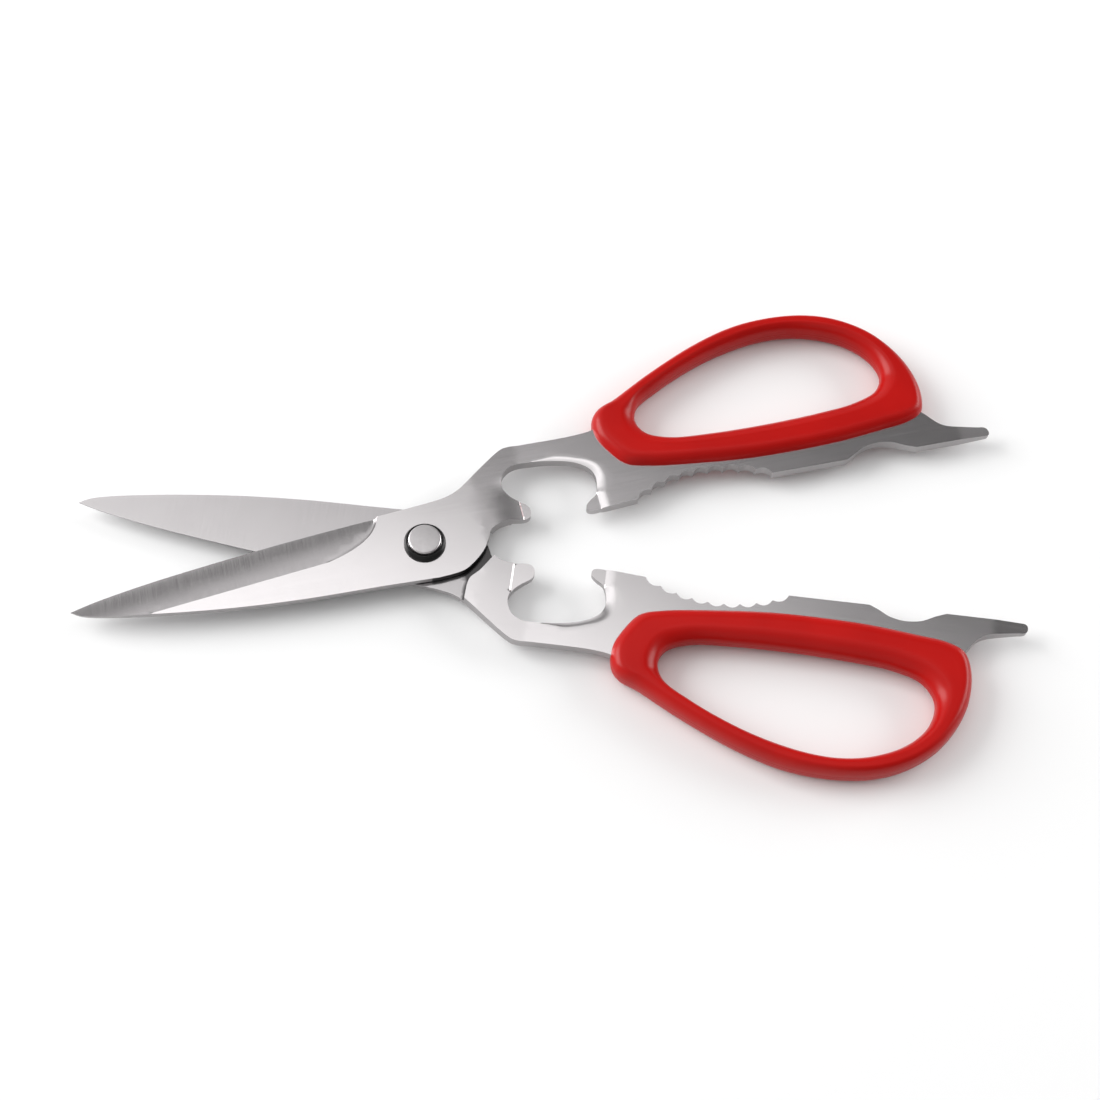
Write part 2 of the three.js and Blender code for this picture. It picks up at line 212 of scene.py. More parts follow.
def spline(points):
    """A smooth open curve through the points, without the first of them."""
    knots = np.array(points, float)
    last = len(knots) - 1
    curve = []
    for i in range(last):
        before, a, b, after = knots[max(i - 1, 0)], knots[i], knots[i + 1], knots[min(i + 2, last)]
        count = max(2, math.ceil(np.linalg.norm(b - a) / SPACING))
        curve += [hermite(a, b, (b - before) / 2, (after - a) / 2, k / count) for k in range(1, count + 1)]
    return curve


def closed_spline(points, count):
    """A smooth closed curve through the points, as that many points at even spacing."""
    knots = np.array(points, float)
    dense = []
    for i in range(len(knots)):
        before, a, b, after = (knots[(i + k) % len(knots)] for k in (-1, 0, 1, 2))
        d0, d1, d2 = (math.sqrt(np.linalg.norm(q - p)) for p, q in ((before, a), (a, b), (b, after)))
        slope_a = ((a - before) / d0 - (b - before) / (d0 + d1) + (b - a) / d1) * d1
        slope_b = ((b - a) / d1 - (after - a) / (d1 + d2) + (after - b) / d2) * d1
        steps = np.linspace(0, 1, SPLINE_STEPS, endpoint=False)
        dense += [hermite(a, b, slope_a, slope_b, t) for t in steps]
    closed = np.array(dense + dense[:1])
    run = np.concatenate([[0], np.cumsum(np.linalg.norm(np.diff(closed, axis=0), axis=1))])
    at = np.linspace(0, run[-1], count, endpoint=False)
    return np.column_stack([np.interp(at, run, closed[:, k]) for k in (0, 1)])


def circle(centre, radius, count):
    turn = np.arange(count) / count * 2 * math.pi
    return np.column_stack([centre[0] + radius * np.cos(turn), centre[1] - radius * np.sin(turn)])


def segment(a, b):
    """A straight line as points at an even spacing."""
    a, b = np.array(a, float), np.array(b, float)
    count = max(1, math.ceil(np.linalg.norm(b - a) / SPACING))
    return a + (b - a) * np.linspace(0, 1, count + 1)[:, None]


def smoothstep(x):
    t = np.clip(x, 0, 1)
    return t * t * (3 - 2 * t)


def plate_outline():
    """The stamping's outline as points, anticlockwise."""
    points = [np.array(TIP, float)]

    def through(knots):
        points.extend(spline([points[-1], *knots]))

    def straight(to):
        points.extend(segment(points[-1], to)[1:])

    def bend(control, to):
        a, c, b = points[-1], np.array(control, float), np.array(to, float)
        steps = np.arange(1, BEND_STEPS + 1) / BEND_STEPS
        points.extend((1 - t) ** 2 * a + 2 * t * (1 - t) * c + t * t * b for t in steps)

    for stretch in (BLADE_SPINE, PIVOT_BODY, LEFT_TOOTH, BONE_NOTCH, RIGHT_TOOTH):
        through(stretch)
    half_span = (JAW_END - JAW_START) / 2
    arc_radius = (half_span**2 + JAW_RISE**2) / (2 * JAW_RISE)
    cusp_x = np.linspace(JAW_START, JAW_END, SCALLOPS + 1)
    cusp_y = JAW_Y + JAW_RISE - arc_radius + np.sqrt(arc_radius**2 - (cusp_x - JAW_START - half_span) ** 2)
    cusps = np.column_stack([cusp_x, cusp_y])
    straight(cusps[0])
    for a, b in zip(cusps, cusps[1:]):
        inward = np.array((a[1] - b[1], b[0] - a[0])) / np.linalg.norm(b - a)
        bend((a + b) / 2 + inward * 2 * SCALLOP_DEPTH, b)
    straight(BOTTLE_NOTCH[0])
    through(BOTTLE_NOTCH[1:])
    straight(TAIL_TIP[0])
    bend(*TAIL_TIP[1:3])
    bend(TAIL_TIP[3], TAIL_OUTSIDE[0])
    through(TAIL_OUTSIDE[1:])
    through(TANG_START)
    straight(TANG_LINE_END)
    for stretch in (TANG_END, SHOULDER, CUTTING_EDGE):
        through(stretch)
    return np.array(points[:-1])


# ---------------------------------------------------------------- plane geometry


def nearest(points, a, b):
    """For each point: the distance to the nearest segment a to b, which one it is, and how far along."""
    along = b - a
    length2 = (along**2).sum(1)
    distance = np.empty(len(points))
    which = np.empty(len(points), int)
    share = np.empty(len(points))
    for first in range(0, len(points), CHUNK):
        part = slice(first, first + CHUNK)
        p = points[part, None]
        t = np.clip(((p - a) * along).sum(2) / length2, 0, 1)
        d2 = ((p - a - along * t[..., None]) ** 2).sum(2)
        at = d2.argmin(1)
        rows = np.arange(len(at))
        distance[part], which[part], share[part] = np.sqrt(d2[rows, at]), at, t[rows, at]
    return distance, which, share


def loop_distance(points, loop):
    return nearest(points, loop, np.roll(loop, -1, axis=0))[0]


def signed_distance(points, line):
    """The distance to an open line, positive on its left."""
    distance, at, _ = nearest(points, line[:-1], line[1:])
    along = line[at + 1] - line[at]
    gap = points - line[at]
    cross = along[:, 0] * gap[:, 1] - along[:, 1] * gap[:, 0]
    return distance * np.where(cross < 0, -1, 1)


def inside(points, loop):
    x, y = points[:, 0, None], points[:, 1, None]
    ax, ay = loop.T
    bx, by = np.roll(loop, -1, axis=0).T
    crosses = ((ay > y) != (by > y)) & (x < (bx - ax) * (y - ay) / np.where(by == ay, 1e-12, by - ay) + ax)
    return crosses.sum(1) % 2 == 1


def inward_normals(loop):
    """Unit normals on the left of a closed loop."""
    along = np.roll(loop, -1, axis=0) - np.roll(loop, 1, axis=0)
    along /= np.linalg.norm(along, axis=1)[:, None]
    return np.column_stack([-along[:, 1], along[:, 0]])


def beside(line, distance):
    """The open line moved to its left by that distance, or by one distance for each point."""
    along = np.gradient(line, axis=0)
    along /= np.linalg.norm(along, axis=1)[:, None]
    normals = np.column_stack([-along[:, 1], along[:, 0]])
    return line + np.reshape(distance, (-1, 1)) * normals


# ---------------------------------------------------------------- mesh building


def pose_of(side):
    """From millimetres in a half's own frame to metres in the shared frame."""
    turned_over = Matrix.Rotation(math.pi if side < 0 else 0, 4, "X")
    opened = Matrix.Rotation(side * REST_HALF_ANGLE, 4, "Z")
    lifted = Matrix.Translation((0, 0, REST_Z))
    return Matrix.Scale(MM, 4) @ lifted @ opened @ turned_over


def build(
    name, vertices, faces, matrix, body, slot, nodes, materials, kinds=None, sharp_angle=35, attributes=None
):
    """A mesh object from points in millimetres, which it also keeps as the attribute spot.

    kinds gives each face's place in the materials. Shading breaks between two kinds.
    """
    vertices = np.asarray(vertices, float)
    mesh = bpy.data.meshes.new(name)
    placed = vertices @ np.array(matrix.to_3x3()).T + np.array(matrix.translation)
    mesh.from_pydata(placed.tolist(), [], faces)
    mesh.validate()
    spot = mesh.attributes.new("spot", "FLOAT_VECTOR", "POINT")
    spot.data.foreach_set("vector", vertices.astype(np.float32).ravel())
    for key, values in (attributes or {}).items():
        layer = mesh.attributes.new(key, "FLOAT", "POINT")
        layer.data.foreach_set("value", np.asarray(values, np.float32))
    for material in materials:
        mesh.materials.append(material)
    mesh.polygons.foreach_set("use_smooth", [True] * len(mesh.polygons))
    mesh.set_sharp_from_angle(angle=math.radians(sharp_angle))
    if kinds is not None:
        mesh.polygons.foreach_set("material_index", np.asarray(kinds, np.int32))
        break_shading(mesh, np.asarray(kinds))
    piece = bpy.data.objects.new(name, mesh)
    bpy.context.scene.collection.objects.link(piece)
    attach(piece, body)
    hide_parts(*nodes)


def break_shading(mesh, kinds):
    """Marks every edge between two kinds of face as sharp."""
    loop_edges = np.empty(len(mesh.loops), np.int32)
    mesh.loops.foreach_get("edge_index", loop_edges)
    sizes = np.empty(len(mesh.polygons), np.int32)
    mesh.polygons.foreach_get("loop_total", sizes)
    loop_kinds = np.repeat(kinds, sizes)
    low = np.full(len(mesh.edges), kinds.max())
    high = np.zeros(len(mesh.edges), int)
    np.minimum.at(low, loop_edges, loop_kinds)
    np.maximum.at(high, loop_edges, loop_kinds)
    sharp = mesh.attributes.get("sharp_edge") or mesh.attributes.new("sharp_edge", "BOOLEAN", "EDGE")
    already = np.empty(len(mesh.edges), bool)
    sharp.data.foreach_get("value", already)
    sharp.data.foreach_set("value", already | (low != high))


def sheet(loops, lines, loose):
    """Triangles over the region inside the first loop and outside the others, with edges along the lines.

    The last result gives the place of each of the loops' points among the triangles' corners.
    """
    points, edges = [], []

    def chain(run, closed):
        first = len(points)
        points.extend(Vector(p) for p in run)
        edges.extend((first + k, first + k + 1) for k in range(len(run) - 1))
        if closed:
            edges.append((first + len(run) - 1, first))

    for loop in loops:
        chain(loop, True)
    for line in lines:
        chain(line, False)
    points.extend(Vector(p) for p in loose)
    found, _, faces, origins, _, _ = delaunay_2d_cdt(points, edges, [], 0, 1e-5)
    place = {given: k for k, givens in enumerate(origins) for given in givens}
    spots = np.array([(v.x, v.y) for v in found])
    faces = np.array([f for f in faces if len(f) == 3])
    centres = spots[faces].mean(1)
    keep = inside(centres, loops[0])
    for loop in loops[1:]:
        keep &= ~inside(centres, loop)
    return spots, faces[keep], [place[k] for k in range(sum(len(loop) for loop in loops))]


# ---------------------------------------------------------------- the steel halves

OPEN, GROUND, LAPPED, SHEARED = range(4)  # the kinds of steel surface


def across_left_tooth(x):
    """The line of the step down to the left tooth's tip."""
    return segment((x, LEFT_STEP_SPAN[0]), (x, LEFT_STEP_SPAN[1]))


RUN_OUT_LINE = np.array([GRIND_END, *spline([GRIND_END, *GRIND_RUN_OUT])])
LAP_LINE = np.array([LAP_BORDER[0], *spline(LAP_BORDER)])
OUTER_STEP = across_left_tooth(OUTER_STEP_X)
INNER_STEP = across_left_tooth(INNER_STEP_X)
RIGHT_STEP = segment((RIGHT_STEP_X, RIGHT_STEP_TOP), (RIGHT_STEP_X, RIGHT_STEP_FOOT))


def half_thickness(x):
    return np.interp(x, (*HANDLE_TAPER, *TAIL_TAPER), (FACE_Z, HANDLE_Z, HANDLE_Z, TAIL_Z))


def grind_distance(points):
    """How far a point is from the border of the hollow-ground band, across the blade."""
    along = np.subtract(GRIND_END, GRIND_START)
    along = along / np.linalg.norm(along)
    gap = points - GRIND_START
    return along[0] * gap[:, 1] - along[1] * gap[:, 0]


def wheel_z(across):
    """The height left by the grinding wheel, from the face at its border to the cutting edge."""
    drop = FACE_Z - EDGE_Z
    chord = math.hypot(GRIND_WIDTH, drop)
    rise = math.sqrt(GRIND_RADIUS**2 - (chord / 2) ** 2)
    centre_y = GRIND_WIDTH / 2 + rise * drop / chord
    centre_z = (FACE_Z + EDGE_Z) / 2 + rise * GRIND_WIDTH / chord
    return centre_z - np.sqrt(GRIND_RADIUS**2 - (across - centre_y) ** 2)


def on_right_tooth(points):
    x, y = points.T
    return (x > RIGHT_TOOTH_START) & (x < RIGHT_STEP_X + ON_STEP) & (y < RIGHT_TOOTH_TOP)


def tooth_lips(points, left_step):
    """1 on the thinned tips of the two teeth and 0 elsewhere, with a short step beside the left one."""
    x, y = points.T
    on_left_tooth = (x > TEETH_X) & (x < LEFT_TOOTH_LIMITS[0]) & (y < LEFT_TOOTH_LIMITS[1])
    return smoothstep((x - left_step[0, 0]) / STEP_WIDTH) * on_left_tooth + on_right_tooth(points)


def soft_edge(outline):
    """The rounded edge of the bone notch, as an open line and the width of the rounding at its points.

    It follows the notch's far side and the step down to the right tooth, and runs on past the plate.
    """
    x, y = outline.T
    across = (x > NOTCH_SIDE_X[0]) & (x < NOTCH_SIDE_X[1])
    far_side = outline[across & (y > RIGHT_STEP_TOP) & (y < NOTCH_SIDE_TOP)]
    line = np.vstack([far_side, segment((RIGHT_STEP_X, RIGHT_STEP_TOP), (RIGHT_STEP_X, SOFT_END_Y))])
    run = np.concatenate([[0], np.cumsum(np.linalg.norm(np.diff(line, axis=0), axis=1))])
    return line, np.interp(run, SOFT_RUN, SOFT_WIDTHS)


def rounding(points, edge):
    """How far the rounded edge falls away from the face."""
    line, widths = edge
    distance, at, share = nearest(points, line[:-1], line[1:])
    width = widths[at] * (1 - share) + widths[at + 1] * share
    inward = np.clip(1 - distance / np.maximum(width, 0.01), 0, 1)
    return np.where(on_right_tooth(points), 0, SOFT_FALL * width * inward**2)


def in_band(points):
    """Where the grinding wheel has cut."""
    across = grind_distance(points)
    left = points[:, 0] < GRIND_END[0]
    within = left | (signed_distance(points, RUN_OUT_LINE) > 1e-6)
    return (across > 1e-6) & (points[:, 0] < GRIND_LIMIT_X) & within


def outer_face(points, edge):
    """The height of a half's outer face."""
    x, y = points.T
    z = half_thickness(x)
    dish = smoothstep((x - DISH_X) / DISH_LENGTH) * smoothstep((DISH_TOP - y) / DISH_HEIGHT)
    z = z - DISH_DEPTH * dish * (x < LEFT_TOOTH_LIMITS[0])
    z = z + (TOOTH_Z - z) * tooth_lips(points, OUTER_STEP)
    run_out = signed_distance(points, RUN_OUT_LINE)
    wall = np.sin(np.clip(run_out / RUN_OUT_WIDTH, 0, 1) * math.pi / 2)
    blend = np.where(x < RUN_OUT_BLEND_X, 1, wall)
    ground = np.minimum(z, wheel_z(grind_distance(points)))
    z = np.where(in_band(points), z + (ground - z) * blend, z)
    return z - rounding(points, edge)


def inner_face(points, edge):
    """The depth of a half's inner face: the lap, then the step down to full thickness."""
    x = points[:, 0]
    z = half_thickness(x)
    z = z + (TOOTH_Z - z) * tooth_lips(points, INNER_STEP)
    beyond = -signed_distance(points, LAP_LINE)
    past = np.where(x > TEETH_X, 1, smoothstep(beyond / LAP_STEP))
    z = -LAP_Z + (z + LAP_Z) * past
    return -z + rounding(points, edge)


def outer_kind(centres):
    return np.where(in_band(centres), GROUND, OPEN)


def inner_kind(centres):
    return np.where((centres[:, 0] < TEETH_X) & (signed_distance(centres, LAP_LINE) > 0), LAPPED, OPEN)


def clip_to(line, outline, snap):
    """The part of an open line inside the outline. With snap, it runs on to the outline's own points."""
    kept = line[inside(line, outline)]
    kept = kept[loop_distance(kept, outline) > SNAP_GAP]
    if not snap:
        return kept
    ends = []
    for end in (kept[0], kept[-1]):
        near = outline[np.linalg.norm(outline - end, axis=1) < SNAP_REACH]
        ends.append(near[np.abs(signed_distance(near, line)).argmin()])
    return np.vstack([ends[0], kept, ends[1]])


def ring_points(outline, edge):
    """Points inside the outline that follow its rounded edge, and rings that grade into the open face."""
    line, widths = edge
    soft = []
    for share in SOFT_SHARES:
        ring = beside(line, widths * share)
        clear = nearest(ring, line[:-1], line[1:])[0] > RING_CLEARANCE * widths * share
        soft.append(ring[clear & (widths > 0.1)])
    soft = np.vstack(soft)
    rings = [soft[~on_right_tooth(soft)]]
    normals = inward_normals(outline)
    for offset, every in EDGE_RINGS:
        ring = (outline + normals * offset)[::every]
        rings.append(ring[loop_distance(ring, outline) > RING_CLEARANCE * offset])
    spots = np.vstack(rings)
    return spots[inside(spots, outline)]


def fill_points(outline):
    """Points in staggered rows over the open face."""
    low, high = outline.min(0), outline.max(0)
    columns = np.arange(low[0], high[0], FILL_SPACING)
    rows = np.arange(low[1], high[1], FILL_SPACING * ROW_PITCH)
    grid = np.array([(x + (k % 2) * FILL_SPACING / 2, y) for k, y in enumerate(rows) for x in columns])
    grid = grid[inside(grid, outline)]
    return grid[loop_distance(grid, outline) > FILL_MARGIN]


def thinned(points, gap):
    """The points without any that crowd an earlier one."""
    around = [(i, j) for i in (-1, 0, 1) for j in (-1, 0, 1)]
    cells = {}
    kept = []
    for p in points:
        column, row = int(p[0] // gap), int(p[1] // gap)
        near = [q for i, j in around for q in cells.get((column + i, row + j), ())]
        if all((p[0] - q[0]) ** 2 + (p[1] - q[1]) ** 2 > gap * gap for q in near):
            cells.setdefault((column, row), []).append(p)
            kept.append(p)
    return np.array(kept)


def finer_near(outline, lines):
    """The outline with extra points where the lines cross it."""
    points = []
    ahead = np.roll(outline, -1, axis=0)
    middle = (outline + ahead) / 2
    close = np.any([np.abs(signed_distance(middle, line)) < SPACING for line in lines], axis=0)
    for a, b, near in zip(outline, ahead, close):
        parts = FINER_PARTS if near else 1
        points += [a + (b - a) * k / parts for k in range(parts)]
    return np.array(points)


def away_from(points, lines, gap):
    for line in lines:
        points = points[np.abs(signed_distance(points, line)) > gap]
    return points


def band_lines(outline):
    """The edges that the outer face's mesh follows along the border of the hollow-ground band."""
    start, end = np.array(GRIND_START), np.array(GRIND_END)
    border = segment(start * 1.2 - end * 0.2, end)  # the straight border, run on past the plate
    whole = clip_to(np.vstack([border, RUN_OUT_LINE[1:]]), outline, True)
    walls = [beside(RUN_OUT_LINE, RUN_OUT_WIDTH * share) for share in RUN_OUT_SHARES]
    return [whole, *(clip_to(wall, outline, False) for wall in walls)]


def lap_lines(outline):
    """The edges that the inner face's mesh follows along the end of the lap."""
    walls = [clip_to(beside(LAP_LINE, -LAP_STEP * share), outline, True) for share in (0, 1)]
    return walls + [clip_to(beside(LAP_LINE, margin), outline, False) for margin in LAP_MARGINS]


def step_lines(outline, left_step):
    """The edges that a face's mesh follows along the steps down to the two teeth."""
    left = [clip_to(beside(left_step, STEP_WIDTH * share), outline, True) for share in (0, 0.5, 1)]
    return left + [clip_to(beside(RIGHT_STEP, width), outline, True) for width in (0, RIGHT_STEP_WIDTH)]


def plate_mesh():
    """One steel half's two faces over the same loops: the loops, the outline and what each face is."""
    outline = plate_outline()
    edge = soft_edge(outline)
    outline = finer_near(outline, [LAP_LINE, RUN_OUT_LINE, RIGHT_STEP, OUTER_STEP, INNER_STEP])
    holes = [circle((0, 0), PIVOT_HOLE_RADIUS, PIVOT_HOLE_SIDES)]
    holes += [circle(centre, KEY_HOLE_RADIUS, KEY_HOLE_SIDES) for centre in KEY_HOLES]
    loose = np.vstack([ring_points(outline, edge), fill_points(outline)])
    for hole in holes:
        loose = loose[loop_distance(loose, hole) > HOLE_MARGIN]
        loose = loose[~inside(loose, hole)]
    loops = [outline, *holes]
    made = []
    for lines, surface, kind in (
        (band_lines(outline) + step_lines(outline, OUTER_STEP), outer_face, outer_kind),
        (lap_lines(outline) + step_lines(outline, INNER_STEP), inner_face, inner_kind),
    ):
        spots, faces, rims = sheet(loops, lines, thinned(away_from(loose, lines, LINE_MARGIN), CROWDED))
        made.append((spots, faces, rims, surface(spots, edge), kind(spots[faces].mean(1))))
    return loops, outline, made


def lap_corner_painted_shade(points):
    """Painted shade in the corner where the lap ends, under the other half's nose."""
    from_lap = signed_distance(points, LAP_LINE)
    reach = np.interp(points[:, 1], LAP_SHADE_Y, LAP_SHADE_REACH)
    in_lap = (from_lap > -LAP_STEP / 2) & (points[:, 0] < TEETH_X)
    return smoothstep(LAP_SHADE_SHARPNESS * (1 - np.abs(from_lap) / reach)) * in_lap


def run_out_painted_shade(points):
    """Painted shade that takes the highlight off the wall the grinding wheel left where its band ends."""
    near = 1 - smoothstep(signed_distance(points, RUN_OUT_LINE) / RUN_OUT_WIDTH / WALL_SHADE_REACH)
    return np.interp(points[:, 0], WALL_SHADE_X, WALL_SHADE) * near * in_band(points)


def nose_painted_shade(points):
    """Which points lie on the pivot body's rounded nose, on its -y side, where the wall gets painted shade.
    """
    x, y = points.T
    return (y < NOSE_Y + NOSE_SLOPE * (x - NOSE_X)) & (x < NOSE_END_X)


def joined_plate():
    """Both faces and the wall as one closed mesh, with each face's kind, and for each point its lightening
    near the outline and its painted shade.
    """
    loops, outline, made = plate_mesh()
    vertices, faces, kinds, edge, painted_shade, nose, borders = [], [], [], [], [], [], []
    # the outer face gets painted shade on the run-out's wall, the inner face in the lap's corner
    for turn, painted_shade_from, sheet_made in zip(((0, 1, 2), (0, 2, 1)), (run_out_painted_shade, lap_corner_painted_shade), made):
        spots, triangles, rims, height, kind = sheet_made
        first = len(vertices)
        vertices += [(x, y, z) for (x, y), z in zip(spots, height)]
        faces += [tuple(int(t[i]) + first for i in turn) for t in triangles]
        kinds += list(kind)
        edge += list(np.exp(-loop_distance(spots, outline) / OUTLINE_LIGHTENING_REACH))
        painted_shade += list(painted_shade_from(spots))
        # the wall at these points gets painted shade round the pivot
        nose += list(nose_painted_shade(spots))
        borders.append([first + i for i in rims])
    start = 0
    for loop in loops:
        over, under = (border[start : start + len(loop)] for border in borders)
        start += len(loop)
        for k in range(len(loop)):
            n = (k + 1) % len(loop)
            faces.append((under[k], under[n], over[n], over[k]))
            kinds.append(SHEARED)
    return vertices, faces, kinds, {"edge": edge, "painted_shade": painted_shade, "nose": nose}


def steel_halves(materials):
    vertices, faces, kinds, attributes = joined_plate()
    for name, side in SIDES.items():
        place = (pose_of(side), name + "_half", "steel", [name + "_blade"])
        build(name + "_plate", vertices, faces, *place, materials, kinds, attributes=attributes)


# ---------------------------------------------------------------- the moulded grips


def grip_section(width):
    """One cut through the moulding, as (distance from the opening's wall, height) round the section."""
    inner = min(INNER_ROUND, INNER_SHARE * width)
    outer = min(OUTER_ROUND, OUTER_SHARE * width)
    wall = GRIP_Z - ROUND_HEIGHT
    start, end = SEAM + inner, width - SEAM - outer

    def rounded(turn, fullness):
        c, s = math.cos(math.radians(turn)), math.sin(math.radians(turn))
        return 1 - c**fullness, wall + ROUND_HEIGHT * s**fullness

    upper = [(SEAM, SEAM_Z), (SEAM, wall * WALL_SHARE)]
    for turn in np.linspace(0, 90, INNER_ROUND_POINTS):
        inset, z = rounded(turn, INNER_FULLNESS)
        upper.append((SEAM + inner * inset, z))
    upper += [(start + (end - start) * share, GRIP_Z) for share in TOP_SHARES]
    for turn in np.linspace(90, 0, OUTER_ROUND_POINTS):
        inset, z = rounded(turn, OUTER_FULLNESS)
        upper.append((width - SEAM - outer * inset, z))
    upper += [(width - SEAM, wall * WALL_SHARE), (width - SEAM, SEAM_Z)]
    lower = [(u, -z) for u, z in reversed(upper)]
    return [(0, 0), *upper, (width, 0), *lower]


def grip_mesh():
    """The loop moulding, lofted along the finger opening with one section at each station."""
    loop = closed_spline(FINGER_LOOP, GRIP_SAMPLES)
    border = closed_spline(GRIP_OUTSIDE, GRIP_SAMPLES)
    outward = inward_normals(loop)
    turn = np.abs(np.cross(outward, np.roll(outward, -1, axis=0)))
    step = np.linalg.norm(np.roll(loop, -1, axis=0) - loop, axis=1)
    measure = np.concatenate([[0], np.cumsum(step + TURN_WEIGHT * turn)])
    even = np.linspace(0, measure[-1], GRIP_STATIONS, endpoint=False)
    at = np.interp(even, measure, np.arange(len(measure)))
    vertices, faces = [], []
    for place in at:
        i = int(place) % len(loop)
        share = place - int(place)
        start = loop[i] * (1 - share) + loop[(i + 1) % len(loop)] * share
        way = outward[i] * (1 - share) + outward[(i + 1) % len(loop)] * share
        way /= np.linalg.norm(way)
        width = ray_length(start, way, border) - INSET
        ring = grip_section(width)
        vertices += [(*(start + way * u), z) for u, z in ring]
    n = len(ring)
    for s in range(GRIP_STATIONS):
        t = (s + 1) % GRIP_STATIONS
        faces += [(s * n + k, s * n + (k + 1) % n, t * n + (k + 1) % n, t * n + k) for k in range(n)]
    return vertices, faces


def ray_length(start, way, loop):
    """How far the ray runs before it first crosses the closed loop."""
    a = loop - start
    along = np.roll(loop, -1, axis=0) - loop
    cross = way[0] * along[:, 1] - way[1] * along[:, 0]
    cross = np.where(np.abs(cross) < 1e-12, 1e-12, cross)
    t = (a[:, 0] * along[:, 1] - a[:, 1] * along[:, 0]) / cross
    s = (a[:, 0] * way[1] - a[:, 1] * way[0]) / cross
    return t[(s >= 0) & (s <= 1) & (t > 0)].min()


def grips(material):
    vertices, faces = grip_mesh()
    for name, side in SIDES.items():
        place = (pose_of(side), name + "_half", "grip", [name + "_grip"])
        build(name + "_moulding", vertices, faces, *place, [material], sharp_angle=60)


# ---------------------------------------------------------------- the pivot


def rounded_profile(corners):
    """A closed (radius, z) profile from (radius, z, corner radius), its corners rounded off."""
    profile = []
    for i, (r, z, rounding_radius) in enumerate(corners):
        if rounding_radius == 0:
            profile.append((r, z))
            continue
        here = np.array((r, z))
        before = np.array(corners[i - 1][:2]) - here
        after = np.array(corners[(i + 1) % len(corners)][:2]) - here
        a = here + before / np.linalg.norm(before) * rounding_radius
        b = here + after / np.linalg.norm(after) * rounding_radius
        for t in CORNER_SHARES:
            profile.append(tuple((1 - t) ** 2 * a + 2 * t * (1 - t) * here + t * t * b))
    return profile


def turned(name, corners, slot, node, material):
    """A turned piece on the pivot's axis, its profile given anticlockwise as (radius, z, corner radius)."""
    profile = rounded_profile(corners)
    n = len(profile)
    vertices, faces = [], []
    start = {}
    for j, (r, z) in enumerate(profile):
        start[j] = len(vertices)
        if r < 1e-6:
            vertices.append((0, 0, z))
        else:
            turns = np.arange(PIVOT_SIDES) / PIVOT_SIDES * 2 * math.pi
            vertices += [(r * math.cos(t), r * math.sin(t), z) for t in turns]
    for j in range(n):
        k = (j + 1) % n
        on_axis = (profile[j][0] < 1e-6, profile[k][0] < 1e-6)
        if all(on_axis):
            continue
        for i in range(PIVOT_SIDES):
            m = (i + 1) % PIVOT_SIDES
            if on_axis[0]:
                faces.append((start[j], start[k] + m, start[k] + i))
            elif on_axis[1]:
                faces.append((start[j] + i, start[j] + m, start[k]))
            else:
                faces.append((start[j] + i, start[j] + m, start[k] + m, start[k] + i))
    build(name, vertices, faces, pose_of(1), "front_half", slot, [node], [material], sharp_angle=40)


def pivot(steel, black):
    """The bolt with its head, the ring round the head, and the washer and nut underneath."""
    foot = FACE_Z + PIVOT_GAP
    stud = [
        (0, STUD_FOOT, 0), (STUD_RADIUS, STUD_FOOT, 0.15), (STUD_RADIUS, foot, 0),
        (HEAD_RADIUS, foot, 0.08), (HEAD_RADIUS, HEAD_TOP, 0.4), (0, HEAD_TOP, 0),
    ]
    turned("pivot_stud", stud, "pivot_steel", "pivot_bolt", steel)
    ring = [
        (RING_INNER, foot, 0), (RING_OUTER, foot, 0.08), (RING_OUTER, foot + RING_SHOULDER_HEIGHT, 0.15),
        (RING_SHOULDER, foot + RING_HEIGHT, 0.12), (RING_INNER, foot + RING_HEIGHT, 0.05),
    ]
    turned("pivot_ring", ring, "collar", "pivot_collar", black)
    washer = [
        (WASHER_INNER, WASHER_FOOT, 0.08), (WASHER_OUTER, WASHER_FOOT, 0.15),
        (WASHER_OUTER, WASHER_TOP, 0.15), (WASHER_INNER, WASHER_TOP, 0.08),
    ]
    turned("pivot_washer", washer, "pivot_steel", "rear_washer", steel)
    nut = [
        (0, NUT_FOOT, 0), (NUT_RADIUS, NUT_FOOT, 0.35), (NUT_RADIUS, NUT_TOP, 0.12),
        (NUT_BORE, NUT_TOP, 0.1), (NUT_BORE, NUT_BORE_END, 0.05), (0, NUT_BORE_END, 0),
    ]
    turned("pivot_round_nut", nut, "pivot_steel", "pivot_nut", steel)


# ---------------------------------------------------------------- materials


